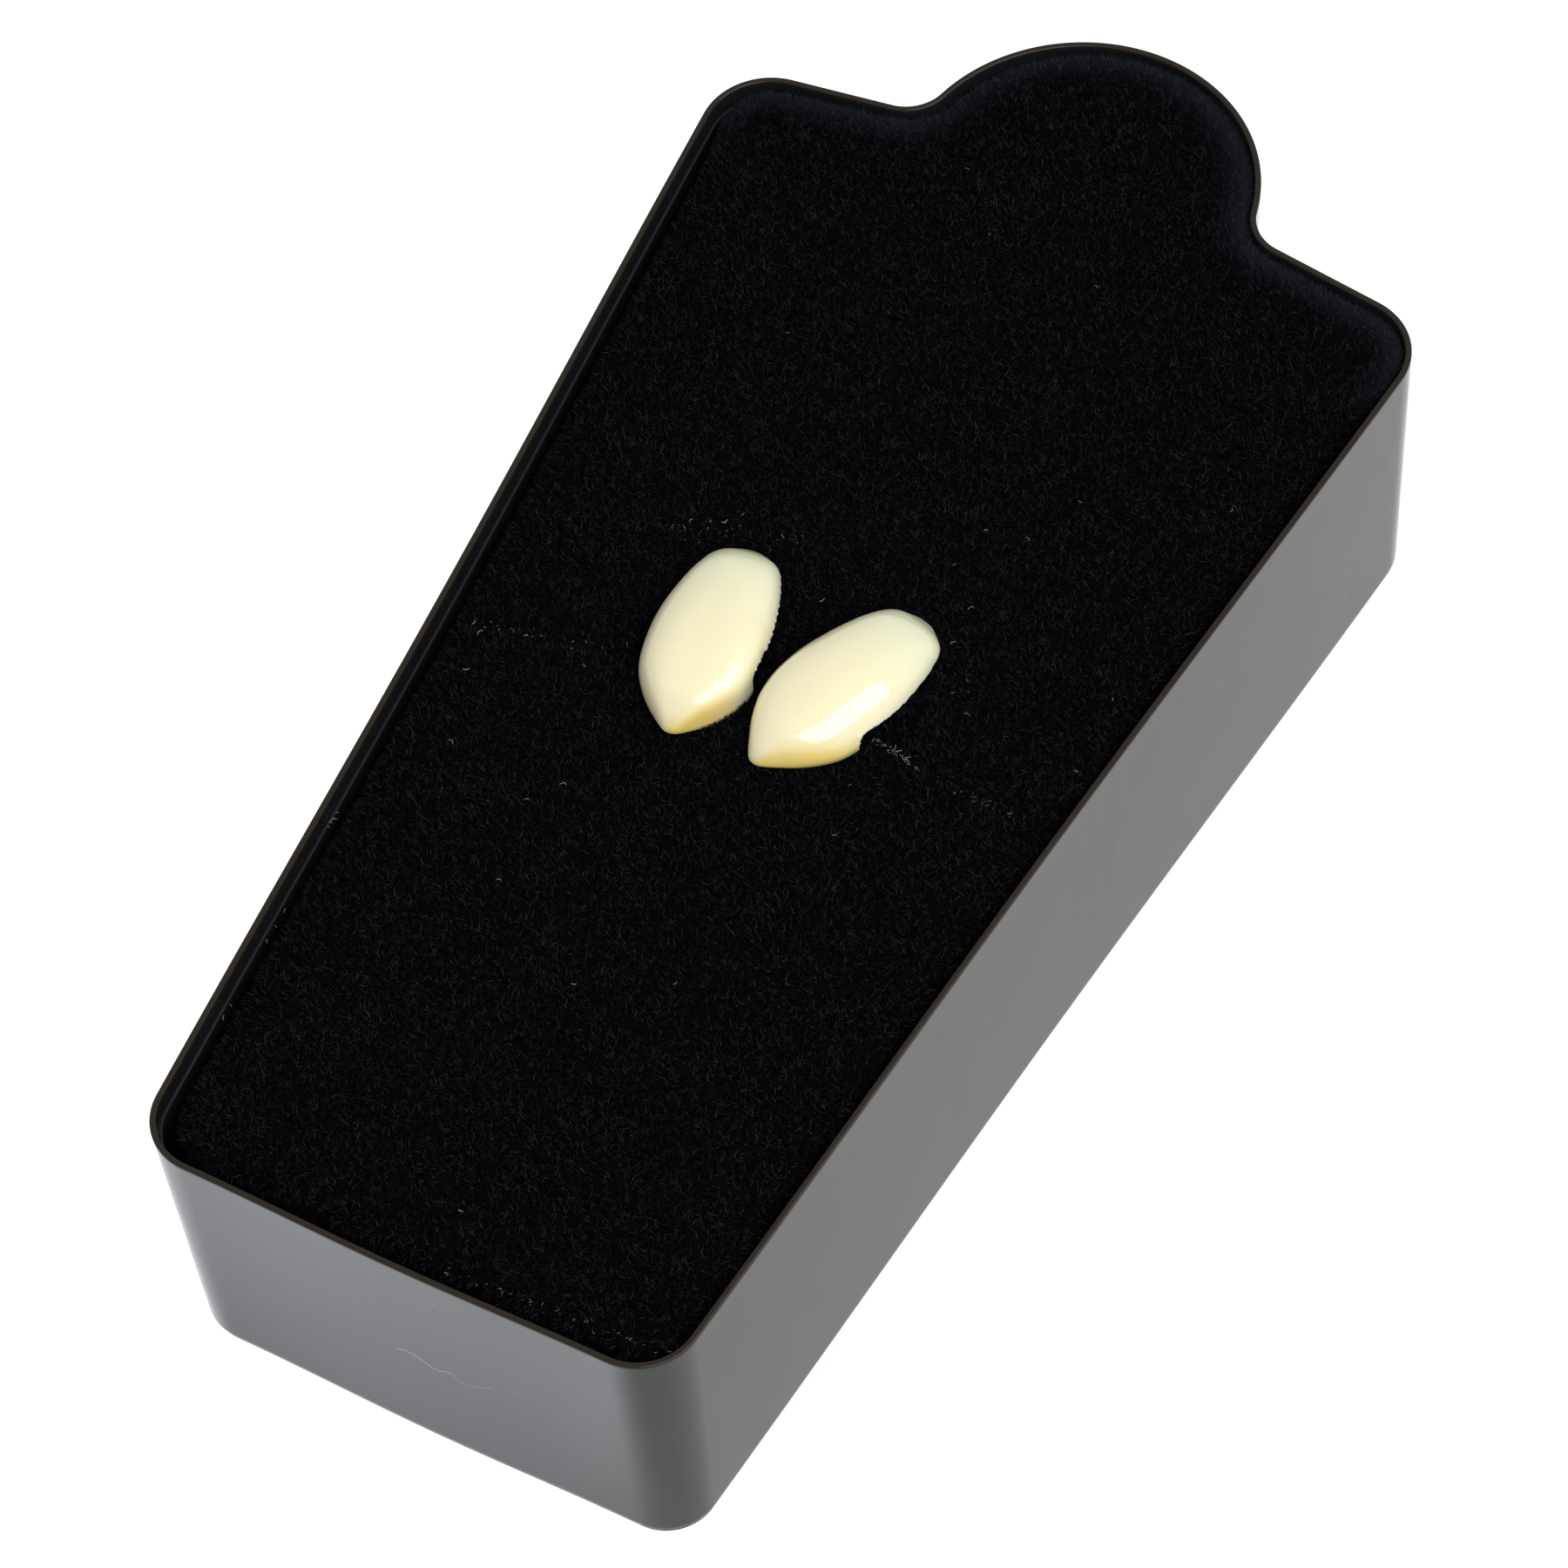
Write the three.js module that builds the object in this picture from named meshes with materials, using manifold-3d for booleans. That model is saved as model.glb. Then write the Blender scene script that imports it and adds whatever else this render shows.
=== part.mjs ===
// A pair of vampire fang caps in the coffin-shaped tray that holds them.
// Each cap is a hollow acrylic tooth that slips over an upper canine. The tray is a thin-walled plastic box with
// a tapered body and a round head, and a flocked foam insert with a slit that grips the backs of the two caps.
// Millimetres, +Z up. The head end points along +Y. The origin is below the middle of the tray, on the table.

import * as THREE from "three";
import { mergeVertices } from "three/addons/utils/BufferGeometryUtils.js";
import Module from "manifold-3d";

const wasm = await Module();
wasm.setup();

// Tray: the outline of its rim
const FOOT_WIDTH = 44;
const SHOULDER_WIDTH = 62.4;
const BODY_LENGTH = 107.3; // from the foot edge to the line through the two shoulder corners
const SHOULDER_SLOPE = 0.14; // how fast the head edge rises from a corner towards the round head
const HEAD_RADIUS = 14.4;
const HEAD_ABOVE_SHOULDERS = 1.3; // from the shoulder line to the centre of the round head
const HEAD_OFFSET = -0.5; // the round head stands a little to the left of the middle
const FOOT_CORNER = 4.9;
const SHOULDER_CORNER = 5.6;
const HEAD_FILLET = 3.6;
const SIDE_BOW = -0.3; // the long sides are drawn in a little at the middle
const FOOT_BOW = 0.25; // the foot edge bulges out a little

// Tray: its walls
const TRAY_HEIGHT = 27;
const DRAFT = 0.65; // how much smaller the base is than the rim, on each side
const WALL = 0.9;
const FLOOR = 1.2;
const LIP_WALL = 0.5; // the rim is thinner down to a small ledge, where a lid would seat
const LIP_DEPTH = 1.8;
const BASE_ROUND = 0.8;
const RIM_ROUND = 0.15;
const FLOOR_ROUND = 0.8;

// Insert: a foam block with a flocked top
const FIT_GAP = 0.3; // between the insert and the tray, and round each cap
const INSERT_RECESS = 0.7; // its flat top lies this far below the rim
const INSERT_ROUND = 1.4;
const INSERT_EASE = 0.35; // it is cut this much smaller on each side, and pushed to the head and to the right
const SLIT_FROM_FOOT = 54.7;
const SLIT_SLOPE = 0.039; // its right end lies nearer the head than its left end
const SLIT_LENGTH = 43;
const SLIT_WIDTH = 0.5;
const SLIT_DEPTH = 12;
const SLIT_SAG = 2.3; // its two ends curve this far towards the foot

// Fang caps: the outer form, from the gum end to the tip
const FANG_LENGTH = 17.9;
const FANG_WIDTH = 9.1;
const FANG_CREST = 3.05; // the lip side, above the widest line
const FANG_HEEL = 3.75; // the tongue side, below the widest line
const FANG_WAIST = 0.85; // height of the widest line over the insert, at the middle
const FANG_SQUARENESS = 2.15; // 2 is an ellipse, more is squarer
const FANG_SHELL = 0.85;
const TIP_REACH = 6.3; // how far the tip lies in front of the slit
const MOUTH_BACK = 0.25; // the closed cup starts this far behind the middle of the slit
const NOTCH_HEIGHT = 1.5; // height of the side edge where it meets the cup
const NOTCH_ROUND = 0.9;
const GUM_EDGE_HEIGHT = 0.3; // height of the side edge at the gum end

// Rows from the gum end to the tip. The columns are shares of the length, half width, crest, heel and waist.
const FANG_SECTIONS = [
  { along: 0.0, width: 0.12, crest: 0.03, heel: 0.05, centre: 0.6 },
  { along: 0.015, width: 0.27, crest: 0.15, heel: 0.15, centre: 0.6 },
  { along: 0.06, width: 0.56, crest: 0.42, heel: 0.35, centre: 0.65 },
  { along: 0.15, width: 0.74, crest: 0.7, heel: 0.6, centre: 0.8 },
  { along: 0.28, width: 0.89, crest: 0.85, heel: 0.85, centre: 0.95 },
  { along: 0.44, width: 1.0, crest: 0.97, heel: 1.0, centre: 1.0 },
  { along: 0.6, width: 1.0, crest: 1.0, heel: 1.0, centre: 1.0 },
  { along: 0.74, width: 0.9, crest: 0.91, heel: 0.76, centre: 0.9 },
  { along: 0.86, width: 0.63, crest: 0.78, heel: 0.46, centre: 0.75 },
  { along: 0.95, width: 0.31, crest: 0.46, heel: 0.19, centre: 0.6 },
  { along: 0.99, width: 0.14, crest: 0.18, heel: 0.07, centre: 0.55 },
  { along: 1.0, width: 0.07, crest: 0.05, heel: 0.02, centre: 0.5 },
];
const HOLLOW_FROM = 0.03; // the hollow's two ends, as shares of the length
const HOLLOW_TO = 0.82;

// Fang caps: where each one sits on the slit, and how far it is turned about the vertical, in degrees
const FANG_PLACES = [
  { name: "fang_left", x: -5.1, turn: 7.5 },
  { name: "fang_right", x: 4.9, turn: -17.5 },
];

// How finely curves are cut into flats
const CORNER_STEPS = 7;
const EDGE_STEPS = 10;
const FOOT_STEPS = 5;
const HEAD_STEPS = 14;
const ROUND_STEPS = 4;
const FANG_STATIONS = 26;
const FANG_SIDES = 28;
const SLIT_STEPS = 12;

const OUT_OF_REACH = 2 * FANG_LENGTH; // cutters run this far, past all that they cut

const acrylic = new THREE.MeshStandardMaterial({ color: 0xf3edc9, roughness: 0.2, metalness: 0 });
const plastic = new THREE.MeshStandardMaterial({ color: 0x0e0e0f, roughness: 0.22, metalness: 0 });
const flock = new THREE.MeshStandardMaterial({ color: 0x08080b, roughness: 1, metalness: 0 });

// Rim outline

// Points with their outward directions along an arc, from one direction to another, in degrees of arc.
function arcRun(centre, radius, from, sweep, steps) {
  const outward = radius > 0 ? 1 : -1; // a negative radius is a hollow arc
  const run = [];
  for (let i = 0; i <= steps; i++) {
    const angle = from + (sweep * i) / steps;
    const direction = new THREE.Vector2(Math.cos(angle), Math.sin(angle));
    run.push({
      point: centre.clone().addScaledVector(direction, Math.abs(radius)),
      outward: direction.multiplyScalar(outward),
    });
  }
  return run;
}

// The arc that rounds the corner at "at", where the outline turns left.
function cornerRun(before, at, after, radius, steps) {
  const back = before.clone().sub(at).normalize();
  const on = after.clone().sub(at).normalize();
  const half = Math.acos(back.dot(on)) / 2;
  const centre = at.clone().addScaledVector(back.clone().add(on).normalize(), radius / Math.sin(half));
  const sweep = Math.PI - 2 * half;
  const start = new THREE.Vector2(-back.y, back.x).angle();
  return arcRun(centre, radius, start, sweep, steps);
}

// An edge between two runs, bowed out by "bow" at its middle.
function edgeRun(from, to, bow, steps) {
  const along = to.clone().sub(from).normalize();
  const outward = new THREE.Vector2(along.y, -along.x);
  const run = [];
  for (let i = 1; i < steps; i++) {
    const share = i / steps;
    const lift = (bow * (1 - Math.cos(2 * Math.PI * share))) / 2;
    run.push({ point: from.clone().lerp(to, share).addScaledVector(outward, lift), outward });
  }
  return run;
}

// The right half of the rim's outer edge, from the middle of the foot to the top of the round head.
function rightHalf(headOffset) {
  const footMiddle = new THREE.Vector2(0, 0);
  const foot = new THREE.Vector2(FOOT_WIDTH / 2, 0);
  const shoulder = new THREE.Vector2(SHOULDER_WIDTH / 2, BODY_LENGTH);
  const headCentre = new THREE.Vector2(headOffset, BODY_LENGTH + HEAD_ABOVE_SHOULDERS);
  const rise = new THREE.Vector2(-1, SHOULDER_SLOPE).normalize();
  const up = new THREE.Vector2(rise.y, -rise.x);

  // The hollow fillet touches the head edge and the round head from outside both.
  const start = shoulder.clone().addScaledVector(up, HEAD_FILLET).sub(headCentre);
  const alongEdge = start.dot(rise);
  const reach = HEAD_RADIUS + HEAD_FILLET;
  const toFillet = -alongEdge - Math.sqrt(alongEdge ** 2 - start.lengthSq() + reach ** 2);
  const filletFromHead = start.clone().addScaledVector(rise, toFillet);
  const filletCentre = headCentre.clone().add(filletFromHead);
  const filletFrom = up.clone().negate().angle();
  const filletSweep = filletFromHead.clone().negate().angle() - filletFrom;
  const headFrom = filletFromHead.angle();

  const footCorner = cornerRun(footMiddle, foot, shoulder, FOOT_CORNER, CORNER_STEPS);
  const shoulderCorner = cornerRun(foot, shoulder, shoulder.clone().add(rise), SHOULDER_CORNER, CORNER_STEPS);
  const fillet = arcRun(filletCentre, -HEAD_FILLET, filletFrom, filletSweep, CORNER_STEPS);
  const head = arcRun(headCentre, HEAD_RADIUS, headFrom, Math.PI / 2 - headFrom, HEAD_STEPS);
  return [
    { point: footMiddle, outward: new THREE.Vector2(0, -1) },
    ...footCorner,
    ...edgeRun(footCorner.at(-1).point, shoulderCorner[0].point, SIDE_BOW, EDGE_STEPS),
    ...shoulderCorner,
    ...fillet,
    ...head.slice(1),
  ];
}

// The whole rim outline, anticlockwise from above, with the foot edge bulged. The left half is the right half
// mirrored, with the round head's offset the other way.
function rimOutline() {
  const right = rightHalf(HEAD_OFFSET);
  const left = rightHalf(-HEAD_OFFSET)
    .slice(1, -1)
    .reverse()
    .map(({ point, outward }) => ({
      point: new THREE.Vector2(-point.x, point.y),
      outward: new THREE.Vector2(-outward.x, outward.y),
    }));
  const whole = [...right, ...left];
  const flatEnd = right[1].point.x;
  const stepped = whole.flatMap((place, i) => {
    const next = whole[(i + 1) % whole.length];
    const onFoot = i === 0 || i === whole.length - 1;
    return onFoot ? [place, ...edgeRun(place.point, next.point, 0, FOOT_STEPS)] : [place];
  });
  return stepped.map(({ point, outward }) => {
    const share = Math.max(0, 1 - Math.abs(point.x) / flatEnd);
    const onFoot = outward.y === -1;
    const lift = onFoot ? (FOOT_BOW * (1 - Math.cos(Math.PI * share))) / 2 : 0;
    return { point: point.clone().addScaledVector(outward, lift), outward };
  });
}

const RIM = rimOutline();

// The rim outline moved inwards by "inset", at height z.
function ringAt(inset, z) {
  return RIM.map(({ point, outward }) => {
    const moved = point.clone().addScaledVector(outward, -inset);
    return new THREE.Vector3(moved.x, moved.y, z);
  });
}

// Solids

// A closed solid whose skin runs through rings of equal length. Its first and last rings are closed with a flat face.
// The rings turn anticlockwise seen from the side that they advance towards.
function ringSolid(rings, flat) {
  const count = rings[0].length;
  const positions = rings.flat().flatMap((p) => [p.x, p.y, p.z]);
  const index = [];
  for (let k = 0; k + 1 < rings.length; k++) {
    for (let i = 0; i < count; i++) {
      const a = k * count + i;
      const b = k * count + ((i + 1) % count);
      index.push(a, b, b + count, a, b + count, a + count);
    }
  }
  const last = (rings.length - 1) * count;
  for (const [a, b, c] of THREE.ShapeUtils.triangulateShape(rings[0].map(flat), [])) index.push(a, c, b);
  for (const [a, b, c] of THREE.ShapeUtils.triangulateShape(rings.at(-1).map(flat), [])) {
    index.push(last + a, last + b, last + c);
  }
  const geometry = new THREE.BufferGeometry();
  geometry.setAttribute("position", new THREE.Float32BufferAttribute(positions, 3));
  geometry.setIndex(index);
  return geometry;
}

function toManifold(geometry) {
  const bare = geometry.clone();
  bare.deleteAttribute("normal");
  bare.deleteAttribute("uv");
  const merged = mergeVertices(bare, 1e-4);
  return new wasm.Manifold(
    new wasm.Mesh({
      numProp: 3,
      vertProperties: merged.attributes.position.array,
      triVerts: new Uint32Array(merged.index.array),
    }),
  );
}

function toGeometry(solid) {
  const mesh = solid.getMesh();
  const geometry = new THREE.BufferGeometry();
  geometry.setAttribute("position", new THREE.BufferAttribute(mesh.vertProperties, 3));
  geometry.setIndex(new THREE.BufferAttribute(mesh.triVerts, 1));
  return geometry;
}

function named(name, geometry, material) {
  const mesh = new THREE.Mesh(geometry, material);
  mesh.name = name;
  geometry.computeVertexNormals();
  return mesh;
}

// Quarter-round steps: how far in and how far up from the tangent points, for an edge of that radius.
function roundSteps(radius) {
  return Array.from({ length: ROUND_STEPS + 1 }, (_, i) => {
    const angle = (Math.PI / 2) * (i / ROUND_STEPS);
    return { side: radius * (1 - Math.sin(angle)), rise: radius * (1 - Math.cos(angle)) };
  });
}

const draftAt = (z) => DRAFT * (1 - z / TRAY_HEIGHT);

// Tray

// One skin: up the outside, over the rim, down the lip to its ledge, and down the inside to the floor.
function trayGeometry() {
  const ledgeHeight = TRAY_HEIGHT - LIP_DEPTH;
  const rings = [];
  for (const { side, rise } of roundSteps(BASE_ROUND)) rings.push(ringAt(draftAt(rise) + side, rise));
  for (const { side, rise } of roundSteps(RIM_ROUND).reverse()) {
    rings.push(ringAt(side, TRAY_HEIGHT - rise));
  }
  rings.push(ringAt(LIP_WALL - RIM_ROUND, TRAY_HEIGHT));
  rings.push(ringAt(LIP_WALL, TRAY_HEIGHT - RIM_ROUND));
  rings.push(ringAt(LIP_WALL + draftAt(ledgeHeight), ledgeHeight));
  rings.push(ringAt(WALL + draftAt(ledgeHeight), ledgeHeight));
  for (const { side, rise } of roundSteps(FLOOR_ROUND).reverse()) {
    rings.push(ringAt(WALL + draftAt(FLOOR + rise) + side, FLOOR + rise));
  }
  return ringSolid(rings, (p) => new THREE.Vector2(p.x, p.y));
}

// Fang caps

// A column of the section table at any share of the length, on a smooth curve through its rows.
function column(name, along) {
  const rows = FANG_SECTIONS;
  const k = Math.max(0, rows.findLastIndex((row) => row.along <= along));
  const a = rows[Math.min(k, rows.length - 2)];
  const b = rows[Math.min(k, rows.length - 2) + 1];
  const before = rows[Math.max(0, rows.indexOf(a) - 1)];
  const after = rows[Math.min(rows.length - 1, rows.indexOf(b) + 1)];
  const span = b.along - a.along;
  const t = (along - a.along) / span;
  const slopeA = ((b[name] - before[name]) / (b.along - before.along)) * span;
  const slopeB = ((after[name] - a[name]) / (after.along - a.along)) * span;
  const t2 = t * t;
  const t3 = t2 * t;
  return (
    (2 * t3 - 3 * t2 + 1) * a[name] + (t3 - 2 * t2 + t) * slopeA + (3 * t2 - 2 * t3) * b[name] + (t3 - t2) * slopeB
  );
}

const power = (value, exponent) => Math.sign(value) * Math.abs(value) ** exponent;

// The cap's outer form grown by "grow" all round, as rings from the gum end to the tip.
function fangForm(grow, from, to) {
  const rings = [];
  for (let s = 0; s <= FANG_STATIONS; s++) {
    const along = from + ((to - from) * (1 - Math.cos((Math.PI * s) / FANG_STATIONS))) / 2;
    const halfWidth = Math.max((FANG_WIDTH / 2) * column("width", along) + grow, 0.1);
    const crest = Math.max(FANG_CREST * column("crest", along) + grow, 0.1);
    const heel = Math.max(FANG_HEEL * column("heel", along) + grow, 0.1);
    const centre = FANG_WAIST * column("centre", along);
    const endShift = grow * (1 - 2 * (s / FANG_STATIONS));
    const y = FANG_LENGTH * (1 - along) - TIP_REACH + endShift;
    rings.push(
      Array.from({ length: FANG_SIDES }, (_, i) => {
        const angle = (2 * Math.PI * i) / FANG_SIDES;
        const x = halfWidth * power(Math.cos(angle), 2 / FANG_SQUARENESS);
        const lift = power(Math.sin(angle), 2 / FANG_SQUARENESS);
        return new THREE.Vector3(x, y, centre + lift * (lift > 0 ? crest : heel));
      }),
    );
  }
  return toManifold(ringSolid(rings, (p) => new THREE.Vector2(p.x, p.z)));
}

// What is cut from the tongue side: all below the side edges, behind the mouth of the cup.
function marginCutter(clearance) {
  const mouth = MOUTH_BACK + clearance;
  const notch = NOTCH_HEIGHT - clearance;
  const gumEnd = FANG_LENGTH - TIP_REACH;
  const side = new THREE.Shape();
  side.moveTo(mouth, -OUT_OF_REACH);
  side.lineTo(OUT_OF_REACH, -OUT_OF_REACH);
  side.lineTo(OUT_OF_REACH, GUM_EDGE_HEIGHT - clearance);
  side.lineTo(gumEnd, GUM_EDGE_HEIGHT - clearance);
  side.lineTo(mouth + NOTCH_ROUND, notch);
  side.quadraticCurveTo(mouth, notch, mouth, notch - NOTCH_ROUND);
  side.closePath();
  const slab = new THREE.ExtrudeGeometry(side, {
    depth: 2 * OUT_OF_REACH,
    bevelEnabled: false,
    curveSegments: ROUND_STEPS,
  });
  slab.translate(0, 0, -OUT_OF_REACH);
  // The shape's own x and y become the cap's y and z.
  slab.applyMatrix4(new THREE.Matrix4().makeBasis(
    new THREE.Vector3(0, 1, 0),
    new THREE.Vector3(0, 0, 1),
    new THREE.Vector3(1, 0, 0),
  ));
  return toManifold(slab);
}

// The finished cap in its own frame: y 0 is the slit, z 0 the insert's top, -y the tip.
function fangCap() {
  return fangForm(0, 0, 1)
    .subtract(fangForm(-FANG_SHELL, HOLLOW_FROM, HOLLOW_TO))
    .subtract(marginCutter(0));
}

// What the cap pushes out of the foam, with the fit gap round it.
function fangPocket() {
  return fangForm(FIT_GAP, 0, 1).subtract(marginCutter(FIT_GAP));
}

const INSERT_TOP = TRAY_HEIGHT - INSERT_RECESS;
const slitAt = (x) => SLIT_FROM_FOOT + SLIT_SLOPE * x - SLIT_SAG * (x / (SLIT_LENGTH / 2)) ** 2;

// Where a cap's own frame lies in the tray.
function fangMatrix({ x, turn }) {
  const turned = new THREE.Matrix4().makeRotationZ(THREE.MathUtils.degToRad(turn));
  return turned.setPosition(x, slitAt(x), INSERT_TOP);
}

// Insert

function slitCutter() {
  const band = new THREE.Shape();
  const places = Array.from({ length: SLIT_STEPS + 1 }, (_, i) => SLIT_LENGTH * (i / SLIT_STEPS - 0.5));
  const near = places.map((x) => new THREE.Vector2(x, slitAt(x) - SLIT_WIDTH / 2));
  const far = places.map((x) => new THREE.Vector2(x, slitAt(x) + SLIT_WIDTH / 2)).reverse();
  band.setFromPoints([...near, ...far]);
  const slab = new THREE.ExtrudeGeometry(band, { depth: SLIT_DEPTH + OUT_OF_REACH, bevelEnabled: false });
  slab.translate(0, 0, INSERT_TOP - SLIT_DEPTH);
  return toManifold(slab);
}

// The foam block: it follows the tray's walls, its top edge is rounded, and it is slit for the caps.
function insertGeometry() {
  const bottom = FLOOR + FIT_GAP;
  const sideAt = (z) => WALL + draftAt(z) + FIT_GAP + INSERT_EASE;
  const rings = [
    ringAt(sideAt(bottom) + FLOOR_ROUND, bottom),
    ringAt(sideAt(bottom + FLOOR_ROUND), bottom + FLOOR_ROUND),
  ];
  for (const { side, rise } of roundSteps(INSERT_ROUND).reverse()) {
    const z = INSERT_TOP - rise;
    rings.push(ringAt(sideAt(z) + side, z));
  }
  const foam = ringSolid(rings, (p) => new THREE.Vector2(p.x, p.y));
  foam.translate(INSERT_EASE, INSERT_EASE, 0);
  let block = toManifold(foam).subtract(slitCutter());
  for (const place of FANG_PLACES) {
    block = block.subtract(toManifold(toGeometry(fangPocket()).applyMatrix4(fangMatrix(place))));
  }
  return toGeometry(block);
}

// Assembly

const set = new THREE.Group();
set.add(named("tray", trayGeometry(), plastic));
set.add(named("flocked_insert", insertGeometry(), flock));
for (const place of FANG_PLACES) {
  const cap = named(place.name, toGeometry(fangCap()), acrylic);
  cap.applyMatrix4(fangMatrix(place));
  set.add(cap);
}

// The tray's footprint is centred on the origin.
const headTop = BODY_LENGTH + HEAD_ABOVE_SHOULDERS + HEAD_RADIUS;
set.position.y = -(headTop - FOOT_BOW) / 2;

const part = new THREE.Group();
part.add(set);

export default part;
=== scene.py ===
"""A pair of vampire fang tooth caps on the black flocked foam of an open coffin-shaped tray.

Metres, +Z up, the round head end along +Y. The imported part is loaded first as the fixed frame, and every
finished piece is built in place over it.
"""
import math

import bmesh
import bpy
import numpy as np
from mathutils import Matrix, Vector


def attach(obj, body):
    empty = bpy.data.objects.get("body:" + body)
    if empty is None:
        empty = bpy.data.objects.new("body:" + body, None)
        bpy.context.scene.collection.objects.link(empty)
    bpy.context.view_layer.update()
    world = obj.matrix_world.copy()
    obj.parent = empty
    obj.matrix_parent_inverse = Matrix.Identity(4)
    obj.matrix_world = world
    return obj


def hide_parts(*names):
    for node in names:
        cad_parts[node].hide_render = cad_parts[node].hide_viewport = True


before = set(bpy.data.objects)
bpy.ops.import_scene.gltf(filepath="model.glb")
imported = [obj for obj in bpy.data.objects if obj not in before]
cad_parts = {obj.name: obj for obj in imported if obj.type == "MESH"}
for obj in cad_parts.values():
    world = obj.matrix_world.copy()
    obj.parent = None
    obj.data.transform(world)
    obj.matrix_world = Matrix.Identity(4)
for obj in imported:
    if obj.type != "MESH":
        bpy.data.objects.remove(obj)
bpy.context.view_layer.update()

# Camera
# The photograph was taken from above the foot's right corner with a long lens, from a little under half a metre,
# and turned a few degrees about the line of sight.
AZIMUTH, ELEVATION, ROLL = math.radians(33.63), math.radians(56.4), math.radians(-6.24)
TARGET = Vector((0.00571, -0.013215, 0.027))
DISTANCE = 0.4597

scene = bpy.context.scene
scene.view_settings.view_transform = "Standard"
back = Vector((
    math.sin(AZIMUTH) * math.cos(ELEVATION),
    -math.cos(AZIMUTH) * math.cos(ELEVATION),
    math.sin(ELEVATION),
))
level = (-back).cross(Vector((0, 0, 1))).normalized()
upright = level.cross(-back)
right = level * math.cos(ROLL) + upright * math.sin(ROLL)
up = upright * math.cos(ROLL) - level * math.sin(ROLL)
eye = TARGET + back * DISTANCE
camera_data = bpy.data.cameras.new("photo_camera")
camera_data.sensor_width = 36
camera_data.lens = 142.27
camera_data.clip_start = 0.02
camera_data.clip_end = 20
camera = bpy.data.objects.new("photo_camera", camera_data)
camera.matrix_world = Matrix((
    (right.x, up.x, back.x, eye.x),
    (right.y, up.y, back.y, eye.y),
    (right.z, up.z, back.z, eye.z),
    (0, 0, 0, 1),
))
scene.collection.objects.link(camera)
scene.camera = camera

# Studio
# A white acrylic light table under a white tent, so that the background is clear white and the dark walls mirror it.
# One rectangular softbox hangs over the right side and draws the streaks on the two caps.
FLOOR_RADIUS = 1.2
FLOOR_DROP = 0.00005
FRONT_GLOW, SIDE_GLOW = 1.56, 0.72
TENT_STRENGTH = 0.6
SOFTBOX_SIDE = Vector((0.62, -0.16, 0.77))
SOFTBOX_DISTANCE = 0.6
SOFTBOX_SIZE = (0.75, 0.42)
SOFTBOX_POWER = 3.4


def linear(code):
    """The linear colour of an sRGB hex code."""
    shares = [int(code[k : k + 2], 16) / 255 for k in (1, 3, 5)]
    return (*(s / 12.92 if s <= 0.04045 else ((s + 0.055) / 1.055) ** 2.4 for s in shares), 1.0)


def node(tree, kind, values=None, links=None, **settings):
    """A new node with its settings, the values of its sockets, and the sockets that feed it."""
    made = tree.nodes.new(kind)
    for name, value in settings.items():
        setattr(made, name, value)
    for name, value in (values or {}).items():
        made.inputs[name].default_value = value
    for name, source in (links or {}).items():
        tree.links.new(source, made.inputs[name])
    return made


def material(name, values):
    """A material with one Principled surface, and its node tree."""
    made = bpy.data.materials.new(name)
    made.use_nodes = True
    surface = made.node_tree.nodes["Principled BSDF"]
    for socket, value in values.items():
        surface.inputs[socket].default_value = value
    return made, made.node_tree, surface


def solid(name, points, faces):
    """A smooth-shaded mesh object at the origin with its normals outward. Points are in millimetres."""
    mesh = bpy.data.meshes.new(name)
    mesh.from_pydata((np.asarray(points) / 1000).tolist(), [], faces)
    sheet = bmesh.new()
    sheet.from_mesh(mesh)
    bmesh.ops.recalc_face_normals(sheet, faces=sheet.faces)
    sheet.to_mesh(mesh)
    sheet.free()
    mesh.shade_smooth()
    made = bpy.data.objects.new(name, mesh)
    scene.collection.objects.link(made)
    return made


# White acrylic, back-lit: it reads as plain white. Its glow is strongest some way in front of the foot and a little
# cool there, so that the front wall mirrors it brighter than the side wall does, and brighter high up than low down.
table_acrylic, tree, surface = material("white_light_table_acrylic", {
    "Base Color": linear("#959594"),
    "Roughness": 0.9,
})
place = node(tree, "ShaderNodeTexCoord").outputs["Object"]
spot = node(tree, "ShaderNodeSeparateXYZ", links={0: place}).outputs
near = node(
    tree, "ShaderNodeMapRange", {1: 0.01, 2: 0.024, 3: 1, 4: 0}, {0: spot["X"]}, interpolation_type="SMOOTHSTEP"
)
in_front = node(tree, "ShaderNodeMapRange", {1: -0.0614, 2: -0.07, 3: 0.68, 4: 1}, {0: spot["Y"]}).outputs[0]
front = node(tree, "ShaderNodeMath", {1: FRONT_GLOW}, {0: in_front}, operation="MULTIPLY").outputs[0]
beside = node(
    tree, "ShaderNodeMapRange", {1: -0.06, 2: 0.04, 3: SIDE_GLOW, 4: 1.1 * SIDE_GLOW}, {0: spot["Y"]}
).outputs[0]
glow = node(tree, "ShaderNodeMix", links={0: near.outputs[0], 2: beside, 3: front}).outputs[0]
cool = node(tree, "ShaderNodeMix", {6: linear("#fdfffc"), 7: linear("#f8faff")}, {0: near.outputs[0]}, data_type="RGBA")
tree.links.new(glow, surface.inputs["Emission Strength"])
tree.links.new(cool.outputs[2], surface.inputs["Emission Color"])
turns = np.linspace(0, 2 * math.pi, 96, endpoint=False)
disc = np.stack([np.cos(turns), np.sin(turns), 0 * turns], axis=1) * FLOOR_RADIUS * 1000
floor = solid("light_table", disc - [0, 0, FLOOR_DROP * 1000], [tuple(range(96))])
floor.data.materials.append(table_acrylic)

tent = bpy.data.worlds.new("white_tent")
tent.use_nodes = True
tent.node_tree.nodes["Background"].inputs["Color"].default_value = linear("#fdfeff")
tent.node_tree.nodes["Background"].inputs["Strength"].default_value = TENT_STRENGTH
scene.world = tent

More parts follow.
